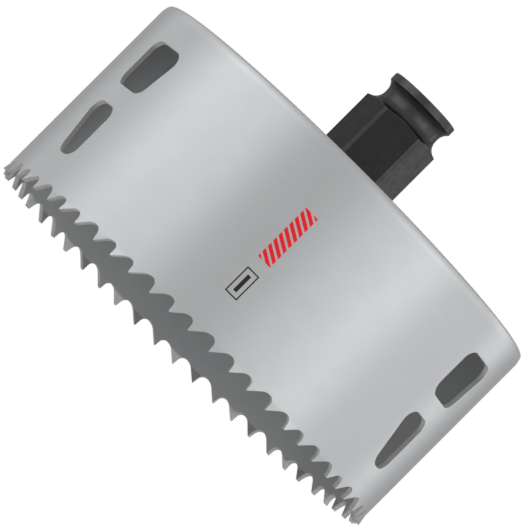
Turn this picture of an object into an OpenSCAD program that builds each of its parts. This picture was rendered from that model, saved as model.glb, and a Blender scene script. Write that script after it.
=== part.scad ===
// Bi-metal hole saw: a toothed strip rolled into a cup, its back plate, and a hexagonal quick-change adapter.
// It stands on its teeth with the axis along +Z, and the origin on the axis at the plane of the tooth tips.
// Angles run counterclockwise seen from the adapter, from +X. The saw cuts turning the other way.

/* [Cup wall] */
// Outside diameter of the cup wall
cup_d = 113.2; // [104:0.2:124]
// Height of the cup from the tooth tips to the back face
cup_h = 53; // [48:0.5:60]
// Thickness of the rolled steel strip
wall_t = 1.2; // [1:0.05:1.5]
// Height over which the wall rolls in at the back
shoulder_h = 2.5; // [2:0.1:3]
// Radius of that rolled shoulder
shoulder_r = 6; // [5:0.1:8]
// Radius of the outer edge at the back face
edge_r = 0.6; // [0.4:0.05:0.8]

/* [Teeth] */
// Number of teeth
tooth_count = 56; // [50:1:60]
// Angle of the first tooth after the strip's welded seam
first_tooth_a = 11.1; // [0:0.1:20]
// Spacing after a tooth set outward, as a share of the mean
gap_after_outward = 0.933; // [0.92:0.001:1.02]
// Spacing after a straight tooth, as a share of the mean
gap_after_straight = 1.061; // [0.98:0.001:1.08]
// Spacing after a tooth set inward, as a share of the mean
gap_after_inward = 1.006; // [0.94:0.001:1.06]
// Spacing across the welded seam, as a share of the mean
gap_at_seam = 0.93; // [0.92:0.001:1]
// How far a set tooth's tip stands out of the wall
tooth_set = 0.45; // [0.3:0.05:0.6]
// Height of the set tooth's bend, as a share of the shallowest gullet
bend_share = 0.92; // [0.8:0.01:0.95]
// Depth of a gullet, as a share of its spacing
gullet_share = 0.45; // [0.42:0.01:0.48]
// Radius at the foot of a cutting face, as a share of the spacing
root_share = 0.235; // [0.21:0.005:0.25]
// Slope of a tooth's back
relief_a = 41; // [39:0.5:44]
// Lean of a cutting face behind the upright
rake_a = 6; // [3:0.5:8]
// Width of the flat left on each tip
tip_w = 0.25; // [0.2:0.05:0.35]

/* [Slots] */
// Angle of the first pair of slots, at their upright left edge
slot_a = -157.9; // [-165:0.1:-150]
// Angle from the first pair of slots to the second
slot_step = 123.9; // [118:0.1:126]
// Distance from the back face down to the upper slot
upper_slot_drop = 8.6; // [7.5:0.1:9.5]
// Height of the upper slot
upper_slot_h = 13.5; // [12:0.1:14.5]
// Width of the upper slot along its top
upper_slot_w = 14.7; // [13:0.1:16]
// How far the upper slot narrows at its lower right
upper_slot_lean = 2.6; // [1.5:0.1:3.2]
// Height of the strip of wall left between the two slots
slot_bridge = 5.3; // [4.5:0.1:6]
// Height of the lower slot
lower_slot_h = 15.2; // [14:0.1:16.5]
// Width of the lower slot along its top
lower_slot_w = 11.2; // [10.2:0.1:12.2]
// How far the lower slot narrows at its lower left
lower_slot_lean = 4.7; // [3.6:0.1:5.2]
// How far the lower slot's upper left corner, before rounding, lies past the upper slot's edge
lower_slot_out = 1; // [0.6:0.1:1.4]
// Radius of the slots' corners
slot_corner_r = 3; // [2.4:0.1:3.3]

/* [Back plate] */
// Thickness of the back plate
plate_t = 4; // [3:0.1:5]
// Clearance that the edge weld fills between plate and wall
weld_gap = 0.05; // [0.03:0.01:0.1]
// Number of holes for an arbor's drive pins
drive_hole_count = 4; // [2:1:4]
// Diameter of each drive-pin hole
drive_hole_d = 6.6; // [6:0.1:7]
// Diameter of the circle through the drive-pin holes
drive_circle_d = 29; // [28.6:0.1:32]

/* [Adapter] */
// Height of the adapter above the back face
adapter_h = 25.8; // [24:0.1:29]
// Distance across the flats of the hexagon
hex_af = 18.8; // [18.6:0.1:19.2]
// Diameter that the hexagon's corners are turned to
hex_corner_d = 21.2; // [20.4:0.1:21.5]
// Distance from the end face down to the middle of the locking groove
groove_drop = 4.6; // [4.4:0.1:4.9]
// Radius of the locking groove's two hollows
groove_r = 3.1; // [2.9:0.1:3.3]
// Height of the straight bottom between them
groove_flat = 0.6; // [0.4:0.1:0.8]
// Diameter of the bottom of the locking groove
groove_d = 16.1; // [15.4:0.1:16.5]
// Diameter of the flange at the adapter's end
flange_d = 18.5; // [18.2:0.1:18.6]
// Width of the bevels on the flange and on the hexagon's foot
bevel_w = 0.15; // [0.1:0.05:0.4]
// Diameter of the threaded stub that holds the back plate
stub_d = 15.8; // [15:0.1:16.6]
// Radial clearance of the stub in the plate
stub_gap = 0.05; // [0.03:0.01:0.1]
// How far the stub stands out inside the cup
stub_end = 1.2; // [0.8:0.1:2]
// Width of the bevel that leads the stub's thread in
stub_bevel = 0.8; // [0.4:0.1:1]
// Diameter of the bore that the pilot drill passes through
bore_d = 8; // [7.4:0.1:9]
// Width of the bevels at the bore's mouths
bore_bevel = 0.5; // [0.3:0.1:0.8]

/* [Hidden] */
$fn = 180;

arc_steps = 8;
reach = 1;
wall_reach = 0.2;
crest_margin_a = 0.2;
cup_r = cup_d / 2;
inner_r = cup_r - wall_t;
shoulder_z = cup_h - shoulder_h;
shoulder_x = cup_r - shoulder_r;

// A set tooth leans out, the next stands straight, and the third leans in.
gap_shares = [gap_after_outward, gap_after_straight, gap_after_inward];
tooth_lean = [tooth_set, 0, -tooth_set];
gap_total = share_before(tooth_count);
mean_gap_a = 360 / gap_total;
mean_gap = mean_gap_a * PI / 180 * cup_r;
bend_z = bend_share * min([for (i = [0 : tooth_count - 1]) gullet_depth(i)]);

slot_angles = [for (k = [0 : 2]) slot_a + (k < 2 ? k * slot_step : (360 + slot_step) / 2)];
upper_slot_z = cup_h - upper_slot_drop - upper_slot_h;
lower_slot_z = upper_slot_z - slot_bridge - lower_slot_h;

plate_z = cup_h - plate_t;
groove_z = cup_h + adapter_h - groove_drop;
adapter_top = cup_h + adapter_h;
stub_z = plate_z - stub_end;

function gap_share(i) = i == tooth_count - 1 ? gap_at_seam : gap_shares[i % 3];
function share_before(i) = i == 0 ? 0 : share_before(i - 1) + gap_share(i - 1);
function tooth_a(i) = first_tooth_a + mean_gap_a * share_before(i);

// Depth of the gullet after tooth i, and the radius at its foot
function gullet_depth(i) = gullet_share * gap_share(i) * mean_gap;
function root_r(i) = root_share * gap_share(i) * mean_gap;

// Where that gullet is deepest, as a distance back from the next cutting edge and as an angle
function crest_back(i) = root_r(i) / cos(rake_a) + (gullet_depth(i) - root_r(i)) * tan(rake_a);
function crest_a(i) = tooth_a(i) + mean_gap_a * (gap_share(i) - crest_back(i) / mean_gap);

function arc(centre, r, from_a, to_a) = [
    for (k = [0 : arc_steps])
        let (a = from_a + (to_a - from_a) * k / arc_steps)
        centre + r * [cos(a), sin(a)]
];

// An arc of radius r in place of corner b, on an outline that runs counterclockwise
function round_corner(a, b, c, r) =
    let (
        u = (a - b) / norm(a - b),
        v = (c - b) / norm(c - b),
        half = acos(u * v) / 2,
        centre = b + (u + v) / norm(u + v) * r / sin(half),
        start = b + u * r / tan(half) - centre,
        start_a = atan2(start[1], start[0])
    )
    arc(centre, r, start_a, start_a + 180 - 2 * half);

function rounded(points, r) = let (n = len(points)) [
    for (i = [0 : n - 1])
        each round_corner(points[(i + n - 1) % n], points[i], points[(i + 1) % n], r)
];

// The wall's section, thick enough below the bend for a tooth of either set, with its rolled shoulder
module wall_section() {
    edge_x = shoulder_x + sqrt(pow(shoulder_r - edge_r, 2) - pow(shoulder_h - edge_r, 2));
    edge_a = atan2(shoulder_h - edge_r, edge_x - shoulder_x);
    under_r = shoulder_r - wall_t;
    polygon(concat(
        [[inner_r, bend_z], [inner_r - tooth_set, 0], [cup_r + tooth_set, 0], [cup_r, bend_z]],
        arc([shoulder_x, shoulder_z], shoulder_r, 0, edge_a),
        arc([edge_x, cup_h - edge_r], edge_r, edge_a, 90),
        arc([shoulder_x, shoulder_z], under_r, asin(shoulder_h / under_r), 0)
    ));
}

// The gullet between the back of tooth i and the next cutting face, cut square through the rim
module gullet(i) {
    gap = gap_share(i) * mean_gap;
    depth = gullet_depth(i);
    crest_x = gap - crest_back(i);
    back_r = ((crest_x - tip_w) * tan(relief_a) - depth) * cos(relief_a) / (1 - cos(relief_a));
    rotate([0, 0, tooth_a(i) + mean_gap_a * gap_share(i) / 2])
        through_wall()
            translate([-gap / 2, 0])
                polygon(concat(
                    [[gap, 0], [gap, -reach], [tip_w, -reach], [tip_w, 0]],
                    arc([crest_x, depth - back_r], back_r, 90 + relief_a, 90),
                    arc([crest_x, depth - root_r(i)], root_r(i), 90 - 90 / arc_steps, rake_a)
                ));
}

// Takes tooth i down to its own lean: on side 1 the outside of the rim, on side -1 the inside.
// The cut starts and ends in the open gullets, just short of their deepest lines.
module shave(i, side) {
    lean = tooth_lean[i % 3];
    from_a = (i == 0 ? crest_a(tooth_count - 1) - 360 : crest_a(i - 1)) + crest_margin_a;
    face_r = side > 0 ? cup_r : inner_r;
    clear_r = face_r + side * (tooth_set + reach);
    if (lean != side * tooth_set)
        rotate([0, 0, from_a])
            rotate_extrude(angle = crest_a(i) - crest_margin_a - from_a)
                polygon([
                    [face_r, bend_z],
                    [face_r + lean * (1 + reach / bend_z), -reach],
                    [clear_r, -reach],
                    [clear_r, bend_z]
                ]);
}

// Sweeps an outline, drawn along the rim and up the wall, outward through the wall at angle 0
module through_wall() {
    low_r = inner_r - tooth_set - wall_reach;
    translate([low_r, 0, 0])
        rotate([90, 0, 90])
            linear_extrude(cup_r + tooth_set + reach - low_r)
                children();
}

module upper_slot() {
    foot_w = upper_slot_w - upper_slot_lean;
    translate([-upper_slot_w / 2, upper_slot_z])
        polygon(rounded([
            [0, 0],
            [foot_w, 0],
            [upper_slot_w, upper_slot_h],
            [0, upper_slot_h]
        ], slot_corner_r));
}

module lower_slot() {
    foot_w = lower_slot_w - lower_slot_lean;
    translate([-lower_slot_w / 2, lower_slot_z])
        polygon(rounded([
            [lower_slot_lean, 0],
            [lower_slot_w, 0],
            [lower_slot_w, lower_slot_h],
            [0, lower_slot_h]
        ], min(slot_corner_r, 0.49 * foot_w)));
}

// One pair of slots, both from the same upright line at angle a
module slot_pair(a) {
    rotate([0, 0, a + asin(upper_slot_w / cup_d)]) through_wall() upper_slot();
    rotate([0, 0, a + asin((lower_slot_w - 2 * lower_slot_out) / cup_d)]) through_wall() lower_slot();
}

// The wall with its gullets cut, before the teeth are set
module gulleted_wall() {
    difference() {
        rotate_extrude() wall_section();
        for (i = [0 : tooth_count - 1]) gullet(i);
    }
}

// The wall with its teeth leaning outward, upright and inward in turn
module toothed_wall() {
    difference() {
        gulleted_wall();
        for (i = [0 : tooth_count - 1], side = [-1, 1]) shave(i, side);
    }
}

module cup_wall() {
    color([0.74, 0.75, 0.75])
        difference() {
            toothed_wall();
            for (a = slot_angles) slot_pair(a);
        }
}

module back_plate() {
    rim_r = shoulder_r - wall_t - weld_gap;
    hole_r = stub_d / 2 + stub_gap;
    color([0.66, 0.67, 0.68])
        difference() {
            rotate_extrude()
                polygon(concat(
                    [[hole_r, plate_z], [inner_r - weld_gap, plate_z]],
                    arc([shoulder_x, shoulder_z], rim_r, 0, asin(shoulder_h / rim_r)),
                    [[hole_r, cup_h]]
                ));
            for (k = [0 : drive_hole_count - 1])
                rotate([0, 0, 45 + k * 360 / drive_hole_count])
                    translate([drive_circle_d / 2, 0, plate_z - reach])
                        cylinder(d = drive_hole_d, h = plate_t + 2 * reach);
        }
}

module hex_adapter() {
    stub_r = stub_d / 2;
    corner_r = hex_corner_d / 2;
    flange_r = flange_d / 2;
    bore_r = bore_d / 2;
    groove_x = groove_d / 2 + groove_r;
    color([0.2, 0.2, 0.21])
        difference() {
            intersection() {
                rotate_extrude()
                    polygon([
                        [bore_r, stub_z + bore_bevel],
                        [bore_r + bore_bevel, stub_z],
                        [stub_r - stub_bevel, stub_z],
                        [stub_r, stub_z + stub_bevel],
                        [stub_r, cup_h],
                        [corner_r - bevel_w, cup_h],
                        [corner_r, cup_h + bevel_w],
                        [corner_r, groove_z],
                        [flange_r, groove_z],
                        [flange_r, adapter_top - bevel_w],
                        [flange_r - bevel_w, adapter_top],
                        [bore_r + bore_bevel, adapter_top],
                        [bore_r, adapter_top - bore_bevel]
                    ]);
                translate([0, 0, stub_z - reach])
                    cylinder(d = hex_af / cos(30), h = adapter_top - stub_z + 2 * reach, $fn = 6);
            }
            rotate_extrude()
                polygon(concat(
                    arc([groove_x, groove_z + groove_flat / 2], groove_r, 90, 180),
                    arc([groove_x, groove_z - groove_flat / 2], groove_r, 180, 270)
                ));
        }
}

cup_wall();
back_plate();
hex_adapter();
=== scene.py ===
import math

import bmesh
import bpy
import numpy as np
from mathutils import Matrix, Vector


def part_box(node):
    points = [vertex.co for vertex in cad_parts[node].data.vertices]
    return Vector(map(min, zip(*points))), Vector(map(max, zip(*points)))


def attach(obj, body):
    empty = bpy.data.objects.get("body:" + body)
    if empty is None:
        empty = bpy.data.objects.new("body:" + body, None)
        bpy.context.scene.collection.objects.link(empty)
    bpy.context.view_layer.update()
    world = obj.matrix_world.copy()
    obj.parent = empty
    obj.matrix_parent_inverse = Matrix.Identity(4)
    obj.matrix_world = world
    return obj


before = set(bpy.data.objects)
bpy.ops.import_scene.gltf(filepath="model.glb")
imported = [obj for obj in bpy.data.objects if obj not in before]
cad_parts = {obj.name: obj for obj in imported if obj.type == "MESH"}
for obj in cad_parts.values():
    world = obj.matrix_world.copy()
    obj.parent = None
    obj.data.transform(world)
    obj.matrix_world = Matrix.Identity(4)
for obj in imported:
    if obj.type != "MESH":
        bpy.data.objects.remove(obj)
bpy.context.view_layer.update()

MM = 0.001
FULL_TURN = 2 * math.pi
WHITE = (1, 1, 1, 1)

# Places taken from the frame
BACK_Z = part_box("cup_wall")[1].z
PLATE_LO, PLATE_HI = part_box("back_plate")
ADAPTER_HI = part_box("hex_adapter")[1]

# The wall stands round the plate, with a gap that the weld fills
WALL_T = 1.2 * MM
WELD_GAP = 0.05 * MM
CUP_R = PLATE_HI.x + WELD_GAP + WALL_T

# The adapter: its hexagon, the heights from which it is turned, and the thread on its stub
HEX_HALF = ADAPTER_HI.y
CORNER_R = ADAPTER_HI.x
GROOVE_FROM = ADAPTER_HI.z - 9.8 * MM
FLANGE_FROM = ADAPTER_HI.z - 3.1 * MM
STUB_END_R = 7.15 * MM
THREAD_PITCH = 1.41 * MM
THREAD_DEPTH = 0.3 * MM

# Where most noise lies, and how closely the rounded normal follows the plain one at an edge and off it
NOISE_USUAL = (0.3, 0.7)
EDGE_FOLLOWS = (0.75, 0.99)
BEVEL_SAMPLES = 6

# The tint of all three metals at a low angle
EDGE_TINT = (0.5, 0.5, 0.5, 1)


class Graph:
    """A node tree with short calls for adding and linking nodes."""

    def __init__(self, tree):
        self.tree = tree
        tree.nodes.clear()

    def add(self, kind, inputs=None, **settings):
        """A new node with these settings, and with values or links for its inputs."""
        node = self.tree.nodes.new(kind)
        for name, value in settings.items():
            setattr(node, name, value)
        for name, value in (inputs or {}).items():
            self.feed(node.inputs[name], value)
        return node

    def feed(self, socket, value):
        if isinstance(value, bpy.types.NodeSocket):
            self.tree.links.new(value, socket)
        else:
            socket.default_value = value

    def math(self, operation, one, two=0.0):
        return self.add("ShaderNodeMath", {0: one, 1: two}, operation=operation).outputs[0]

    def chain(self, operation, values):
        out = values[0]
        for value in values[1:]:
            out = self.math(operation, out, value)
        return out

    def total(self, *values):
        return self.chain("ADD", values)

    def times(self, *values):
        return self.chain("MULTIPLY", values)

    def scale_range(self, value, from_lo, from_hi, to_lo, to_hi):
        """The value brought from one range to another, and held inside it."""
        ends = {"From Min": from_lo, "From Max": from_hi, "To Min": to_lo, "To Max": to_hi}
        return self.add("ShaderNodeMapRange", {"Value": value, **ends}).outputs[0]

    def share(self, swing):
        """A swing from -1 to 1 as a share from 0 to 1."""
        return self.scale_range(swing, -1.0, 1.0, 0.0, 1.0)

    def band(self, value, low, high, soft):
        """One between low and high, and nothing outside, over a soft edge."""
        half = (high - low) / 2
        away = self.math("ABSOLUTE", self.math("SUBTRACT", value, (low + high) / 2))
        return self.scale_range(away, half - soft, half + soft, 1.0, 0.0)

    def place(self):
        """A point of the surface, in the object's own space."""
        return self.add("ShaderNodeTexCoord").outputs["Object"]

    def axes(self, place):
        return self.add("ShaderNodeSeparateXYZ", {0: place}).outputs

    def radius(self, place):
        """Distance from the saw's axis."""
        x, y, _ = self.axes(place)
        return self.math("SQRT", self.total(self.times(x, x), self.times(y, y)))

    def face_mark(self, name):
        """A value that the faces carry."""
        return self.add("ShaderNodeAttribute", attribute_name=name).outputs["Fac"]

    def noise(self, place, cells, detail=2.0):
        """Noise with so many cells per metre, evenly or along each axis."""
        cells = cells if isinstance(cells, tuple) else (cells, cells, cells)
        scaled = self.add("ShaderNodeVectorMath", {0: place, 1: cells}, operation="MULTIPLY")
        inputs = {"Vector": scaled.outputs["Vector"], "Scale": 1.0, "Detail": detail}
        return self.add("ShaderNodeTexNoise", inputs).outputs["Fac"]

    def spread(self, noise, low=-1.0, high=1.0):
        """Noise brought from where most of it lies to the range wanted."""
        return self.scale_range(noise, *NOISE_USUAL, low, high)

    def rounded(self, radius):
        """The normal rounded over edges."""
        return self.add("ShaderNodeBevel", {"Radius": radius}, samples=BEVEL_SAMPLES).outputs[0]

    def near_edge(self, rounded):
        """One at an edge and nothing away from it, from how far the rounded normal leans."""
        plain = self.add("ShaderNodeNewGeometry").outputs["Normal"]
        along = self.add("ShaderNodeVectorMath", {0: rounded, 1: plain}, operation="DOT_PRODUCT")
        return self.scale_range(along.outputs["Value"], *EDGE_FOLLOWS, 1.0, 0.0)

    def bump(self, height, distance, normal):
        """The normal with relief whose height runs from 0 to 1 over a distance in metres."""
        inputs = {"Strength": 1.0, "Distance": distance, "Height": height, "Normal": normal}
        return self.add("ShaderNodeBump", inputs).outputs["Normal"]

    def mix(self, factor, one, two):
        """A colour between two others."""
        node = self.add("ShaderNodeMix", data_type="RGBA")
        self.feed(node.inputs["Factor"], factor)
        self.feed(node.inputs["A"], one)
        self.feed(node.inputs["B"], two)
        return node.outputs["Result"]

    def blend(self, factor, one, two):
        """A shader between two others."""
        return self.add("ShaderNodeMixShader", {0: factor, 1: one, 2: two}).outputs[0]

    def metal(self, tone, roughness, normal, metallic=1.0):
        """The shader that each finish of the saw ends in."""
        shader = self.add("ShaderNodeBsdfPrincipled", {
            "Base Color": tone, "Metallic": metallic, "Roughness": roughness, "Normal": normal,
            "Specular Tint": EDGE_TINT})
        self.add("ShaderNodeOutputMaterial", {"Surface": shader.outputs[0]})


def new_material(name):
    material = bpy.data.materials.new(name)
    material.use_nodes = True
    return material, Graph(material.node_tree)


def dress(obj, material):
    obj.data.materials.clear()
    obj.data.materials.append(material)


def link_object(name, data):
    """A new object in the scene that shows the data."""
    obj = bpy.data.objects.new(name, data)
    bpy.context.scene.collection.objects.link(obj)
    return obj


# Shading of the carried-over solids

# Angles at which neighbouring faces still count as one curve, in degrees
CUP_CREASE = 28
ADAPTER_CREASE = 20

# How level, upright, outward or aslant a face is, from parts of its normal
LEVEL = 0.9999
UPRIGHT = 0.03
TURNED_OUTWARD = 0.2
TURNED_ASLANT = 0.045
SET_OUTWARD = 0.8

# The share that shows of how far a tooth set outward leans
SET_SHOWN = 0.35

# Teeth and slots lie below this height, and the plate's turned rim beyond this radius
TEETH_BELOW = BACK_Z - 8 * MM
PLATE_RIM_FROM = PLATE_HI.x - 5 * MM

# Points closer than the first are one place, and nothing is divided by less than the second
SAME_PLACE = 1e-7
TINY = 1e-30


def values_of(items, field, width=1, kind=float):
    """One field of a mesh's vertices, faces or face corners, as an array."""
    values = np.empty(len(items) * width, kind)
    items.foreach_get(field, values)
    return values.reshape(-1, width) if width > 1 else values


def corner_angles(points, corner_counts):
    """The angle of each face corner, between the corners before and after it."""
    first = np.concatenate([[0], np.cumsum(corner_counts)[:-1]])
    last = first + corner_counts - 1
    following = np.arange(len(points)) + 1
    following[last] = first
    previous = np.arange(len(points)) - 1
    previous[first] = last
    ahead = points[following] - points
    behind = points[previous] - points
    lengths = np.linalg.norm(ahead, axis=1) * np.linalg.norm(behind, axis=1)
    return np.arccos(np.clip((ahead * behind).sum(1) / np.maximum(lengths, TINY), -1, 1))


def corner_normals(mesh, crease, crisp_below):
    """A normal for each face corner, averaged over neighbours that meet it at less than the crease.

    Below the height crisp_below, upright faces aren't averaged with leaning ones.
    It also gives the corners' flat normals, their points, and the number of each one's place.
    """
    vertices = values_of(mesh.loops, "vertex_index", kind=np.int32)
    corner_counts = values_of(mesh.polygons, "loop_total", kind=np.int32)
    points = values_of(mesh.vertices, "co", width=3)[vertices]
    flat = np.repeat(values_of(mesh.polygons, "normal", width=3), corner_counts, axis=0)
    weighted = flat * corner_angles(points, corner_counts)[:, None]
    rounded_points = np.round(points / SAME_PLACE).astype(np.int64)
    place = np.unique(rounded_points, axis=0, return_inverse=True)[1].ravel()
    order = np.argsort(place, kind="stable")
    changes = np.flatnonzero(np.diff(place[order])) + 1
    upright = np.abs(flat[:, 2]) < UPRIGHT
    smooth = np.empty_like(flat)
    for group in np.split(order, changes):
        alike = (flat[group] @ flat[group].T) > math.cos(math.radians(crease))
        if points[group[0], 2] < crisp_below:
            alike &= upright[group][:, None] == upright[group][None, :]
        smooth[group] = alike @ weighted[group]
    smooth /= np.maximum(np.linalg.norm(smooth, axis=1), TINY)[:, None]
    return smooth, flat, points, place


def true_rounds(smooth, flat, points, place, turned_from, crisp_below):
    """Points the normals of faces turned about the axis straight out from it or in towards it.

    Faces count as turned beyond the distance turned_from from the axis.
    Teeth set outward, below the height crisp_below, show only a share of their lean.
    """
    distance = np.linalg.norm(points[:, :2], axis=1)
    spokes = points[:, :2] / np.maximum(distance, TINY)[:, None]
    outward = (flat[:, :2] * spokes).sum(1)
    aslant = np.abs(flat[:, 0] * spokes[:, 1] - flat[:, 1] * spokes[:, 0])
    turned = (aslant < TURNED_ASLANT) & (np.abs(outward) > TURNED_OUTWARD) & (distance > turned_from)
    level_part = np.sqrt(np.maximum(1 - smooth[turned, 2] ** 2, 0)) * np.sign(outward[turned])
    smooth[turned, :2] = spokes[turned] * level_part[:, None]

    upright = turned & (np.abs(flat[:, 2]) < UPRIGHT)
    beside_upright = np.zeros(place.max() + 1, bool)
    beside_upright[place[upright]] = True
    plain = upright | (turned & beside_upright[place] & (points[:, 2] > crisp_below))
    smooth[plain, :2] = spokes[plain] * np.sign(outward[plain])[:, None]
    smooth[plain, 2] = 0

    set_out = (outward > SET_OUTWARD) & ~plain & (points[:, 2] < crisp_below)
    smooth[set_out, 2] *= SET_SHOWN
    smooth[set_out, :2] = spokes[set_out] * np.sqrt(1 - smooth[set_out, 2] ** 2)[:, None]


def shade(obj, crease, turned_from=None, crisp_below=0.0):
    """Shades a solid smooth over its curves, flat on its level faces, and truly round where turned."""
    mesh = obj.data
    smooth, flat, points, place = corner_normals(mesh, crease, crisp_below)
    level = np.abs(flat[:, 2]) > LEVEL
    smooth[level] = flat[level]
    if turned_from is not None:
        true_rounds(smooth, flat, points, place, turned_from, crisp_below)
    mesh.polygons.foreach_set("use_smooth", np.ones(len(mesh.polygons), bool))
    mesh.normals_split_custom_set(smooth.tolist())


# Marks on faces, by how they were made

# Faces of the wall that look less outward or inward than this are cut, below its shoulder
CUT_OUTWARD = 0.7
CUT_BELOW = BACK_Z - 3 * MM

# Where the hexagon's flats face, in degrees, and how near a face is to a flat or a turned corner
FLAT_ANGLES = (90, 30, -30)
ALONG = 0.999
SLACK = 0.1 * MM


def faces_of(obj):
    """The centres and the normals of an object's faces."""
    faces = obj.data.polygons
    return values_of(faces, "center", width=3), values_of(faces, "normal", width=3)


def mark_faces(obj, name, marked):
    values = obj.data.attributes.new(name, "FLOAT", "FACE").data
    values.foreach_set("value", marked.astype(np.float32))


def mark_cut_faces(obj):
    """Marks the faces that a saw, punch or grinding wheel cut: slot sides, gullets and teeth."""
    centre, normal = faces_of(obj)
    spokes = centre[:, :2] / np.linalg.norm(centre[:, :2], axis=1)[:, None]
    outward = np.abs((normal[:, :2] * spokes).sum(1))
    mark_faces(obj, "cut", (outward < CUT_OUTWARD) & (centre[:, 2] < CUT_BELOW))


def mark_turned_faces(obj):
    """Marks the groove and flange that were turned on the adapter after its hexagon."""
    centre, normal = faces_of(obj)
    angles = np.radians(FLAT_ANGLES)
    across = np.stack([np.cos(angles), np.sin(angles)])
    facing = np.abs(normal[:, :2] @ across) > ALONG
    far_out = np.abs(centre[:, :2] @ across) > HEX_HALF - SLACK
    on_flat = (facing & far_out).any(1)
    radius = np.linalg.norm(centre[:, :2], axis=1)
    on_corner = (radius > CORNER_R - SLACK) & (np.abs(normal[:, 2]) < UPRIGHT)
    mark_faces(obj, "turned", (centre[:, 2] > GROOVE_FROM) & ~on_flat & ~on_corner)


# Finishes

# Radii of the rounded edges
CUP_EDGE = 0.16 * MM
PLATE_EDGE = 0.2 * MM
BLACK_EDGE = 0.13 * MM
# Over this radius the adapter's edges are lightened, partly as rubbed bare metal and partly as a painted
# highlight
RUBBED_AND_HIGHLIGHT_EDGE = 0.3 * MM

# Tones of the lacquer and of the black steel, and others as shares of those two, from low to high
CUP_TONE = 0.37
OUTSIDE_TONES = (0.965, 1.035)
# Inside the cup the lacquer is lighter, and lighter upwards: painted light
INSIDE_PAINTED_LIGHT_TONES = (1.13, 1.32)
CUT_TONES = (1.0, 1.35)
# The cup's edges are lightened by this much: a painted highlight
CUP_EDGE_HIGHLIGHT_TONE = 1.9
SEAM_TONE = 0.7
PLATE_TONES = (0.95, 1.05)
# The plate's edges are lightened by this much: a painted highlight
PLATE_EDGE_HIGHLIGHT_TONE = 1.6
BLACK_TONE = 0.028
FILM_TONES = (0.82, 1.18)
# The turned groove and the flange above it are lighter: painted light that lifts the shade in the groove
# under the flange
TURNED_PAINTED_LIGHT_TONES = (1.4, 1.75)
FLANGE_PAINTED_LIGHT_TONES = (1.5, 1.85)
# The adapter's lightened edges: partly rubbed bare metal, partly a painted highlight
RUBBED_AND_HIGHLIGHT_TONE = 5.5
COOL = 0.015
BARE_WARMTH = 0.01

# Grain of the finishes, in cells per metre, evenly or along each axis
CUP_CLOUDS = 55
ROLLED_LINES = (60, 60, 2600)
SPECKS = 3800
CUP_SHEEN = 240
LACQUER_GRAIN = 5200
GRINDING = (1500, 1500, 6000)
PRINT_WEAR = 2400
PLATE_CLOUDS = 60
PLATE_RINGS = 1300
PLATE_SHEEN = 200
BLACK_MOTTLE = 420
TOOL_MARKS = (90, 90, 5200)
RUBBING_AND_HIGHLIGHT = 900
BLACK_SHEEN = 600
BLACK_PORES = 4200

# How much of each kind of grain or edge goes into a tone
CUP_CLOUD_SHARE = 0.22
ROLLED_SHARE = 0.2
SPECK_SHARE = 0.3
CUP_EDGE_HIGHLIGHT_SHARE = 0.8
SEAM_SHARE = 0.12
PRINT_LEFT = 0.975
PLATE_CLOUD_SHARE = 0.25
RING_SHARE = 0.6
PLATE_EDGE_HIGHLIGHT_SHARE = 0.5
MOTTLE_SHARE = 0.45
MARK_SHARE = 0.3
RUBBED_AND_HIGHLIGHT_LEAST = 0.4

# Roughness from least to most, and what the inside, the cuts and the turning add to it
CUP_ROUGHS = (0.408, 0.432)
PLATE_ROUGHS = (0.42, 0.45)
BLACK_ROUGHS = (0.2, 0.29)
INSIDE_ROUGH = 0.24
CUT_ROUGH = 0.12
TURNED_ROUGH = 0.1

# How far the cuts are from shining as metal does
CUT_DULL = 0.55

# Heights of the relief, and the shares of grain and of rolled lines in the cup's own
CUP_GRAIN_H = 0.0012 * MM
GRAIN_IN_RELIEF = 0.6
ROLLED_IN_RELIEF = 0.04
SEAM_H = 0.05 * MM
GRINDING_H = 0.01 * MM
PRINT_H = 0.008 * MM
RING_H = 0.008 * MM
PLATE_GRAIN_H = 0.0008 * MM
TOOL_MARK_H = 0.0008 * MM
PORE_H = 0.0006 * MM

# Where the painted light inside the cup rises from low to high, and over what height the painted light
# on the flange sets in
INSIDE_PAINTED_LIGHT_Z = (12 * MM, 30 * MM)
FLANGE_SOFT = 0.3 * MM

# The strip's seam: its angle from the front in degrees, its half width and edge, and its ripples
SEAM_ANGLE = 98.5
SEAM_HALF = 0.5 * MM
SEAM_SOFT = 0.25 * MM
SEAM_RIPPLE = 0.6 * MM
SEAM_RIPPLE_LOW = 0.75

# The print's inks, its middle round the wall, its soft edge, and the depth that counts as outside
PRINT_RED = (0.75, 0.003, 0.008, 1)
PRINT_BLACK = (0.003, 0.003, 0.003, 1)
PRINT_ARC = -0.24 * MM
PRINT_SOFT = 0.03 * MM
PRINT_DEEP = 0.3 * MM

# The field of slanted stripes: its ends along the axis, its half width, and its stripes
FIELD_Z = (22.9 * MM, 38.2 * MM)
FIELD_HALF = 1.9 * MM
STRIPE_PITCH = 1.7 * MM
STRIPE_LEAN = 0.6
STRIPE_INKED = (0.18, 0.82)

# Below it the small frame round a bar: its ends, half width and line, and the bar's half width and inset
BOX_Z = (12.3 * MM, 19.7 * MM)
BOX_HALF = 1.8 * MM
BOX_LINE = 0.32 * MM
BAR_HALF = 0.5 * MM
BAR_INSET = 1.3 * MM


def grey(level, warm=0.0):
    """A neutral colour, a little cooler than grey unless it is warmed."""
    return (level * (1 - COOL + warm), level, level * (1 + COOL - warm), 1)


def greys(level, shares, warm=0.0):
    return [grey(level * share, warm) for share in shares]


def arc_from_front(graph, place):
    """Distance round the cup from its front."""
    x, y, _ = graph.axes(place)
    return graph.times(graph.math("ARCTAN2", x, graph.times(y, -1.0)), CUP_R)


def panel(graph, across, z, half, ends):
    """A mask of an upright rectangle on the wall, from its half width and its two ends."""
    wide = graph.band(across, -half, half, PRINT_SOFT)
    return graph.times(wide, graph.band(z, *ends, PRINT_SOFT))


def inset(ends, gap):
    return (ends[0] + gap, ends[1] - gap)


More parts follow.
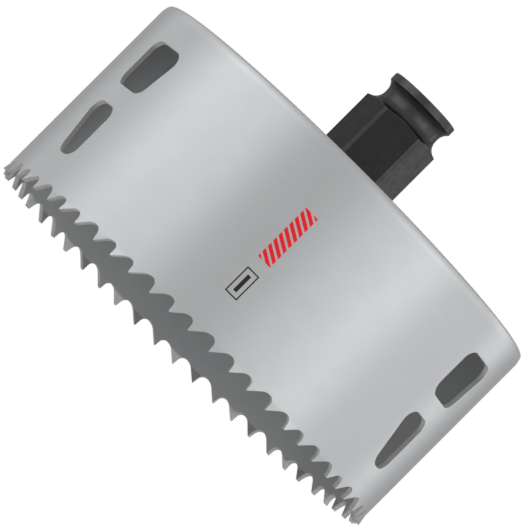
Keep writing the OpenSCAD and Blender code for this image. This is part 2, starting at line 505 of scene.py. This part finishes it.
def printed_fields(graph, place):
    """Masks of the red field of stripes and of the black frame with its bar, on the outside."""
    z = graph.axes(place)["Z"]
    outside = graph.math("GREATER_THAN", graph.radius(place), CUP_R - PRINT_DEEP)
    across = graph.math("SUBTRACT", arc_from_front(graph, place), PRINT_ARC)
    lean = graph.total(graph.math("SUBTRACT", z, FIELD_Z[0]), graph.times(across, STRIPE_LEAN))
    turn = graph.math("FRACT", graph.math("DIVIDE", lean, STRIPE_PITCH))
    stripe = graph.band(turn, *STRIPE_INKED, PRINT_SOFT / STRIPE_PITCH)
    field = panel(graph, across, z, FIELD_HALF, FIELD_Z)
    outer = panel(graph, across, z, BOX_HALF, BOX_Z)
    inner = panel(graph, across, z, BOX_HALF - BOX_LINE, inset(BOX_Z, BOX_LINE))
    bar = panel(graph, across, z, BAR_HALF, inset(BOX_Z, BAR_INSET))
    framed = graph.math("MAXIMUM", graph.math("SUBTRACT", outer, inner), bar)
    return graph.times(outside, field, stripe), graph.times(outside, framed)


def welded_seam(graph, place):
    """Mask and height of the low rippled line where the strip's two ends are welded together."""
    middle = math.radians(SEAM_ANGLE) * CUP_R
    arc = arc_from_front(graph, place)
    seam = graph.band(arc, middle - SEAM_HALF, middle + SEAM_HALF, SEAM_SOFT)
    ripple = graph.math("SINE", graph.times(graph.axes(place)["Z"], FULL_TURN / SEAM_RIPPLE))
    return seam, graph.times(seam, graph.scale_range(ripple, -1.0, 1.0, SEAM_RIPPLE_LOW, 1.0))


def strip_tone(graph, place, rolled, inside):
    """The lacquer's grey: clouds, rolled lines and specks outside, and inside a painted light that grows
    lighter upwards.
    """
    cloud = graph.times(graph.spread(graph.noise(place, CUP_CLOUDS)), CUP_CLOUD_SHARE)
    speck = graph.times(graph.spread(graph.noise(place, SPECKS, detail=1.0)), SPECK_SHARE)
    shift = graph.total(cloud, graph.times(rolled, ROLLED_SHARE), speck)
    outside_tone = graph.mix(graph.share(shift), *greys(CUP_TONE, OUTSIDE_TONES))
    # Painted light inside the cup, lighter further up towards the plate
    painted_light_rise = graph.scale_range(graph.axes(place)["Z"], *INSIDE_PAINTED_LIGHT_Z, 0.0, 1.0)
    return graph.mix(inside, outside_tone, graph.mix(painted_light_rise, *greys(CUP_TONE, INSIDE_PAINTED_LIGHT_TONES)))


def inked_tone(graph, place, tone, red, black):
    """The tone with the print on it, a little worn."""
    worn = graph.spread(graph.noise(place, PRINT_WEAR, detail=3.0), PRINT_LEFT, 1.0)
    tone = graph.mix(graph.times(red, worn), tone, PRINT_RED)
    return graph.mix(graph.times(black, worn), tone, PRINT_BLACK)


def lacquered_cup(name):
    """Satin silver-grey lacquer over rolled strip, with cut and ground edges, a weld seam, print and a
    painted highlight along its edges.
    """
    material, graph = new_material(name)
    place = graph.place()
    rolled = graph.spread(graph.noise(place, ROLLED_LINES, detail=3.0))
    inside = graph.math("LESS_THAN", graph.radius(place), CUP_R - WALL_T + WELD_GAP)
    cut = graph.face_mark("cut")
    ground = graph.spread(graph.noise(place, GRINDING), 0.0, 1.0)
    rounded = graph.rounded(CUP_EDGE)
    # A painted highlight: the lacquer is made lighter along its edges
    edge_highlight = graph.times(graph.near_edge(rounded), CUP_EDGE_HIGHLIGHT_SHARE)
    red, black = printed_fields(graph, place)
    ink = graph.math("MAXIMUM", red, black)
    seam, seam_height = welded_seam(graph, place)

    tone = strip_tone(graph, place, rolled, inside)
    tone = graph.mix(cut, tone, graph.mix(ground, *greys(CUP_TONE, CUT_TONES, BARE_WARMTH)))
    tone = graph.mix(edge_highlight, tone, grey(CUP_TONE * CUP_EDGE_HIGHLIGHT_TONE))
    tone = inked_tone(graph, place, tone, red, black)
    tone = graph.mix(graph.times(seam, SEAM_SHARE), tone, grey(CUP_TONE * SEAM_TONE))

    sheen = graph.spread(graph.noise(place, CUP_SHEEN), *CUP_ROUGHS)
    roughness = graph.total(sheen, graph.times(inside, INSIDE_ROUGH), graph.times(cut, CUT_ROUGH))
    dull = graph.math("MAXIMUM", ink, graph.times(cut, CUT_DULL))
    metallic = graph.math("SUBTRACT", 1.0, dull)

    grain = graph.times(graph.noise(place, LACQUER_GRAIN), GRAIN_IN_RELIEF)
    grain = graph.total(grain, graph.times(rolled, ROLLED_IN_RELIEF))
    normal = graph.bump(grain, CUP_GRAIN_H, rounded)
    normal = graph.bump(seam_height, SEAM_H, normal)
    normal = graph.bump(graph.times(cut, ground), GRINDING_H, normal)
    normal = graph.bump(ink, PRINT_H, normal)
    graph.metal(tone, roughness, normal, metallic)
    return material


def lacquered_plate(name):
    """The same lacquer over a turned plate: faint rings show through it, and its edges carry a painted
    highlight.
    """
    material, graph = new_material(name)
    place = graph.place()
    rounded = graph.rounded(PLATE_EDGE)
    # A painted highlight: the plate's lacquer is made lighter along its edges
    edge_highlight = graph.times(graph.near_edge(rounded), PLATE_EDGE_HIGHLIGHT_SHARE)
    outwards = graph.add("ShaderNodeCombineXYZ", {0: graph.radius(place)}).outputs[0]
    rings = graph.noise(outwards, PLATE_RINGS, detail=4.0)
    cloud = graph.times(graph.spread(graph.noise(place, PLATE_CLOUDS)), PLATE_CLOUD_SHARE)
    shift = graph.total(cloud, graph.times(graph.spread(rings), RING_SHARE))
    tone = graph.mix(graph.share(shift), *greys(CUP_TONE, PLATE_TONES))
    tone = graph.mix(edge_highlight, tone, grey(CUP_TONE * PLATE_EDGE_HIGHLIGHT_TONE))
    roughness = graph.spread(graph.noise(place, PLATE_SHEEN), *PLATE_ROUGHS)
    normal = graph.bump(rings, RING_H, rounded)
    normal = graph.bump(graph.noise(place, LACQUER_GRAIN), PLATE_GRAIN_H, normal)
    graph.metal(tone, roughness, normal)
    return material


def thread_relief(graph, place):
    """Height of the thread on the stub's end, where it shows inside the cup."""
    x, y, z = graph.axes(place)
    turn = graph.total(graph.times(z, FULL_TURN / THREAD_PITCH), graph.math("ARCTAN2", y, x))
    below_plate = graph.math("LESS_THAN", z, PLATE_LO.z)
    on_the_side = graph.math("GREATER_THAN", graph.radius(place), STUB_END_R)
    return graph.times(below_plate, on_the_side, graph.share(graph.math("SINE", turn)))


def black_steel(name):
    """Black-oxide steel: mottled film, tool marks round the axis, painted light on the groove and
    flange, and edges partly rubbed bare and partly a painted highlight.
    """
    material, graph = new_material(name)
    place = graph.place()
    turned = graph.face_mark("turned")
    z = graph.axes(place)["Z"]
    # Painted light on the flange, which sets in above this height
    flange_painted_light = graph.scale_range(z, FLANGE_FROM, FLANGE_FROM + FLANGE_SOFT, 0.0, 1.0)
    mottle = graph.spread(graph.noise(place, BLACK_MOTTLE, detail=4.0))
    marks = graph.spread(graph.noise(place, TOOL_MARKS))
    shift = graph.total(graph.times(mottle, MOTTLE_SHARE), graph.times(marks, MARK_SHARE))
    shift = graph.share(shift)
    tone = graph.mix(shift, *greys(BLACK_TONE, FILM_TONES))
    # Painted light: the turned groove and flange are given a lighter tone
    tone = graph.mix(turned, tone, graph.mix(shift, *greys(BLACK_TONE, TURNED_PAINTED_LIGHT_TONES)))
    tone = graph.mix(flange_painted_light, tone, graph.mix(shift, *greys(BLACK_TONE, FLANGE_PAINTED_LIGHT_TONES)))
    # The adapter's edges are lighter: partly rubbed bare metal, partly a painted highlight
    edge_highlight = graph.near_edge(graph.rounded(RUBBED_AND_HIGHLIGHT_EDGE))
    rubbing_and_highlight = graph.spread(graph.noise(place, RUBBING_AND_HIGHLIGHT, detail=3.0), RUBBED_AND_HIGHLIGHT_LEAST, 1.0)
    rubbed_and_highlight = graph.times(edge_highlight, rubbing_and_highlight)
    tone = graph.mix(rubbed_and_highlight, tone, grey(BLACK_TONE * RUBBED_AND_HIGHLIGHT_TONE, BARE_WARMTH))
    sheen = graph.spread(graph.noise(place, BLACK_SHEEN, detail=3.0), *BLACK_ROUGHS)
    roughness = graph.total(sheen, graph.times(turned, TURNED_ROUGH))
    normal = graph.bump(marks, TOOL_MARK_H, graph.rounded(BLACK_EDGE))
    normal = graph.bump(graph.noise(place, BLACK_PORES, detail=3.0), PORE_H, normal)
    normal = graph.bump(thread_relief(graph, place), THREAD_DEPTH, normal)
    graph.metal(tone, roughness, normal)
    return material


# The weld bead, which is too fine for the solids

# Its section: middle radius, half width, rise, and how deep its edges lie in the back
BEAD_R = PLATE_HI.x - 0.15 * MM
BEAD_HALF = 0.6 * MM
BEAD_RISE = 0.16 * MM
BEAD_SUNK = 0.05 * MM

# Its ripples, the steps of each and of a section, and how much the ripples and a slow wave change it
BEAD_RIPPLES = 240
RIPPLE_STEPS = 4
SECTION_STEPS = 8
WIDTH_RIPPLE = 0.03
RISE_RIPPLE = 0.12
SLOW_SWELL = 0.04
SLOW_WAVES = 7


def ring_mesh(name, sections, material):
    """A smooth skin round a ring of closed sections, of which the last joins the first."""
    mesh = bmesh.new()
    rows = [[mesh.verts.new(point) for point in section] for section in sections]
    for one, two in zip(rows, rows[1:] + rows[:1]):
        for i in range(len(one)):
            j = (i + 1) % len(one)
            mesh.faces.new((one[i], two[i], two[j], one[j]))
    bmesh.ops.recalc_face_normals(mesh, faces=mesh.faces)
    for face in mesh.faces:
        face.smooth = True
    data = bpy.data.meshes.new(name)
    mesh.to_mesh(data)
    mesh.free()
    obj = link_object(name, data)
    dress(obj, material)
    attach(obj, "root")


def bead_section(angle):
    """The bead's domed section at that angle round the axis."""
    ripple = math.cos(BEAD_RIPPLES * angle)
    swell = 1.0 + WIDTH_RIPPLE * ripple + SLOW_SWELL * math.sin(SLOW_WAVES * angle)
    rise = BEAD_RISE * (swell + RISE_RIPPLE * ripple)
    section = []
    for k in range(SECTION_STEPS + 1):
        turn = math.pi * k / SECTION_STEPS
        radius = BEAD_R + BEAD_HALF * swell * math.cos(turn)
        z = BACK_Z - BEAD_SUNK + rise * math.sin(turn)
        section.append((radius * math.sin(angle), -radius * math.cos(angle), z))
    return section


def weld_bead(material):
    """The low rippled weld that joins the wall to the plate round the back edge."""
    count = BEAD_RIPPLES * RIPPLE_STEPS
    sections = [bead_section(FULL_TURN * i / count) for i in range(count)]
    ring_mesh("weld_bead", sections, material)


# Stage, light and camera

# The floor: half its side, its tone, its own glow, and the distances over which it fades to white
FLOOR_HALF = 1.5
FLOOR_TONE = 0.95
FLOOR_GLOW = 0.16
FLOOR_FADE = (0.12, 0.5)

# The even light from all round, and the lamps' distance, rise in degrees, height and two widths
WORLD_LIGHT = 0.6
LAMP_DISTANCE = 0.8
LAMP_RISE = 8
LAMP_HEIGHT = 0.7
WIDE = 0.3
NARROW = 0.08

# Soft boxes round the saw: degrees from the camera's side, positive to its right, width and power
LAMPS = {
    "left_rear": (-130, WIDE, 0.69),
    "left_edge": (-95, WIDE, 0.26),
    "left_side": (-82, WIDE, 0.54),
    "left": (-70, WIDE, 0.86),
    "left_front": (-45, WIDE, 0.96),
    "right_front": (25, WIDE, 0.65),
    "right": (50, WIDE, 1.04),
    "right_side": (62, WIDE, 0.49),
    "right_edge": (90, WIDE, 0.5),
    "strip_near": (118, NARROW, 0.44),
    "strip_far": (124, NARROW, 0.76),
}

# The photograph's framing: its width in real size, the point at its middle, and its angles in degrees
FRAME_W = 119.44 * MM
TARGET = Vector((0.148 * MM, 0, 26.77 * MM))
CAMERA_BELOW = 4.27
CAMERA_ROLL = 45.0

# Lens and sensor in millimetres, and the nearest and furthest that the camera sees, in metres
LENS = 1500.0
SENSOR = 36.0
CLIP_START = 0.1
CLIP_END = 20.0


def floor_sheet():
    """The floor's one square."""
    corners = [(-1, -1), (1, -1), (1, 1), (-1, 1)]
    mesh = bpy.data.meshes.new("floor")
    mesh.from_pydata([(FLOOR_HALF * x, FLOOR_HALF * y, 0) for x, y in corners], [], [(0, 1, 2, 3)])
    return link_object("floor", mesh)


def pale_floor(name):
    """Pale and softly shadowed, white further off and in reflections, and clear from below."""
    material, graph = new_material(name)
    path = graph.add("ShaderNodeLightPath").outputs
    away = graph.add("ShaderNodeVectorMath", {0: graph.place()}, operation="LENGTH").outputs["Value"]
    from_below = graph.add("ShaderNodeNewGeometry").outputs["Backfacing"]
    tone = (FLOOR_TONE, FLOOR_TONE, FLOOR_TONE, 1)
    sheet = graph.add("ShaderNodeBsdfDiffuse", {"Color": tone}).outputs[0]
    glow = graph.add("ShaderNodeEmission", {"Color": WHITE, "Strength": FLOOR_GLOW}).outputs[0]
    lit = graph.add("ShaderNodeAddShader", {0: sheet, 1: glow}).outputs[0]
    white = graph.add("ShaderNodeEmission", {"Color": WHITE, "Strength": 1.0}).outputs[0]
    clear = graph.add("ShaderNodeBsdfTransparent").outputs[0]
    seen = graph.blend(graph.scale_range(away, *FLOOR_FADE, 0.0, 1.0), lit, white)
    seen = graph.blend(path["Is Camera Ray"], sheet, seen)
    seen = graph.blend(path["Is Glossy Ray"], seen, white)
    seen = graph.blend(graph.times(from_below, path["Is Camera Ray"]), seen, clear)
    graph.add("ShaderNodeOutputMaterial", {"Surface": seen})
    return material


def make_floor():
    floor = floor_sheet()
    dress(floor, pale_floor("pale_floor"))


def make_world():
    """White to the camera and in reflections, and a plain level of light on the object."""
    world = bpy.data.worlds.new("studio")
    bpy.context.scene.world = world
    world.use_nodes = True
    graph = Graph(world.node_tree)
    path = graph.add("ShaderNodeLightPath").outputs
    seen = graph.math("MAXIMUM", path["Is Camera Ray"], path["Is Glossy Ray"])
    seen = graph.math("MAXIMUM", seen, path["Is Transmission Ray"])
    strength = graph.scale_range(seen, 0.0, 1.0, WORLD_LIGHT, 1.0)
    back = graph.add("ShaderNodeBackground", {"Color": WHITE, "Strength": strength})
    graph.add("ShaderNodeOutputWorld", {"Surface": back.outputs[0]})


def make_lamp(name, angle, width, power):
    """A soft box that faces the saw from that side."""
    data = bpy.data.lights.new(name, "AREA")
    data.shape = "RECTANGLE"
    data.size = width
    data.size_y = LAMP_HEIGHT
    data.energy = power
    lamp = link_object(name, data)
    side, rise = math.radians(angle), math.radians(LAMP_RISE)
    out = Vector((math.sin(side) * math.cos(rise), -math.cos(side) * math.cos(rise), math.sin(rise)))
    lamp.location = TARGET + out * LAMP_DISTANCE
    lamp.rotation_mode = "QUATERNION"
    lamp.rotation_quaternion = (-out).to_track_quat("-Z", "Y")


def make_lamps():
    for name, (angle, width, power) in LAMPS.items():
        make_lamp(name, angle, width, power)


def make_camera():
    """A very long lens, as the photograph has parallel rays, from a little below and rolled."""
    data = bpy.data.cameras.new("camera")
    data.lens = LENS
    data.sensor_width = SENSOR
    data.clip_start = CLIP_START
    data.clip_end = CLIP_END
    camera = link_object("camera", data)
    tilt, roll = math.radians(CAMERA_BELOW), math.radians(CAMERA_ROLL)
    back = Vector((0, -math.cos(tilt), -math.sin(tilt)))
    right = Vector((1, 0, 0))
    up = back.cross(right)
    image_right = right * math.cos(roll) + up * math.sin(roll)
    image_up = up * math.cos(roll) - right * math.sin(roll)
    turn = Matrix((image_right, image_up, back)).transposed()
    distance = FRAME_W * LENS / SENSOR
    camera.matrix_world = Matrix.Translation(TARGET + back * distance) @ turn.to_4x4()
    bpy.context.scene.camera = camera


make_camera()
make_world()
make_lamps()
make_floor()

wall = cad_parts["cup_wall"]
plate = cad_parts["back_plate"]
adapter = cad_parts["hex_adapter"]
shade(wall, CUP_CREASE, turned_from=0.0, crisp_below=TEETH_BELOW)
shade(plate, CUP_CREASE, turned_from=PLATE_RIM_FROM)
shade(adapter, ADAPTER_CREASE)
mark_cut_faces(wall)
mark_turned_faces(adapter)

plate_lacquer = lacquered_plate("plate_lacquer")
dress(wall, lacquered_cup("cup_lacquer"))
dress(plate, plate_lacquer)
dress(adapter, black_steel("black_oxide"))
weld_bead(plate_lacquer)

bpy.context.scene.view_settings.view_transform = "Standard"
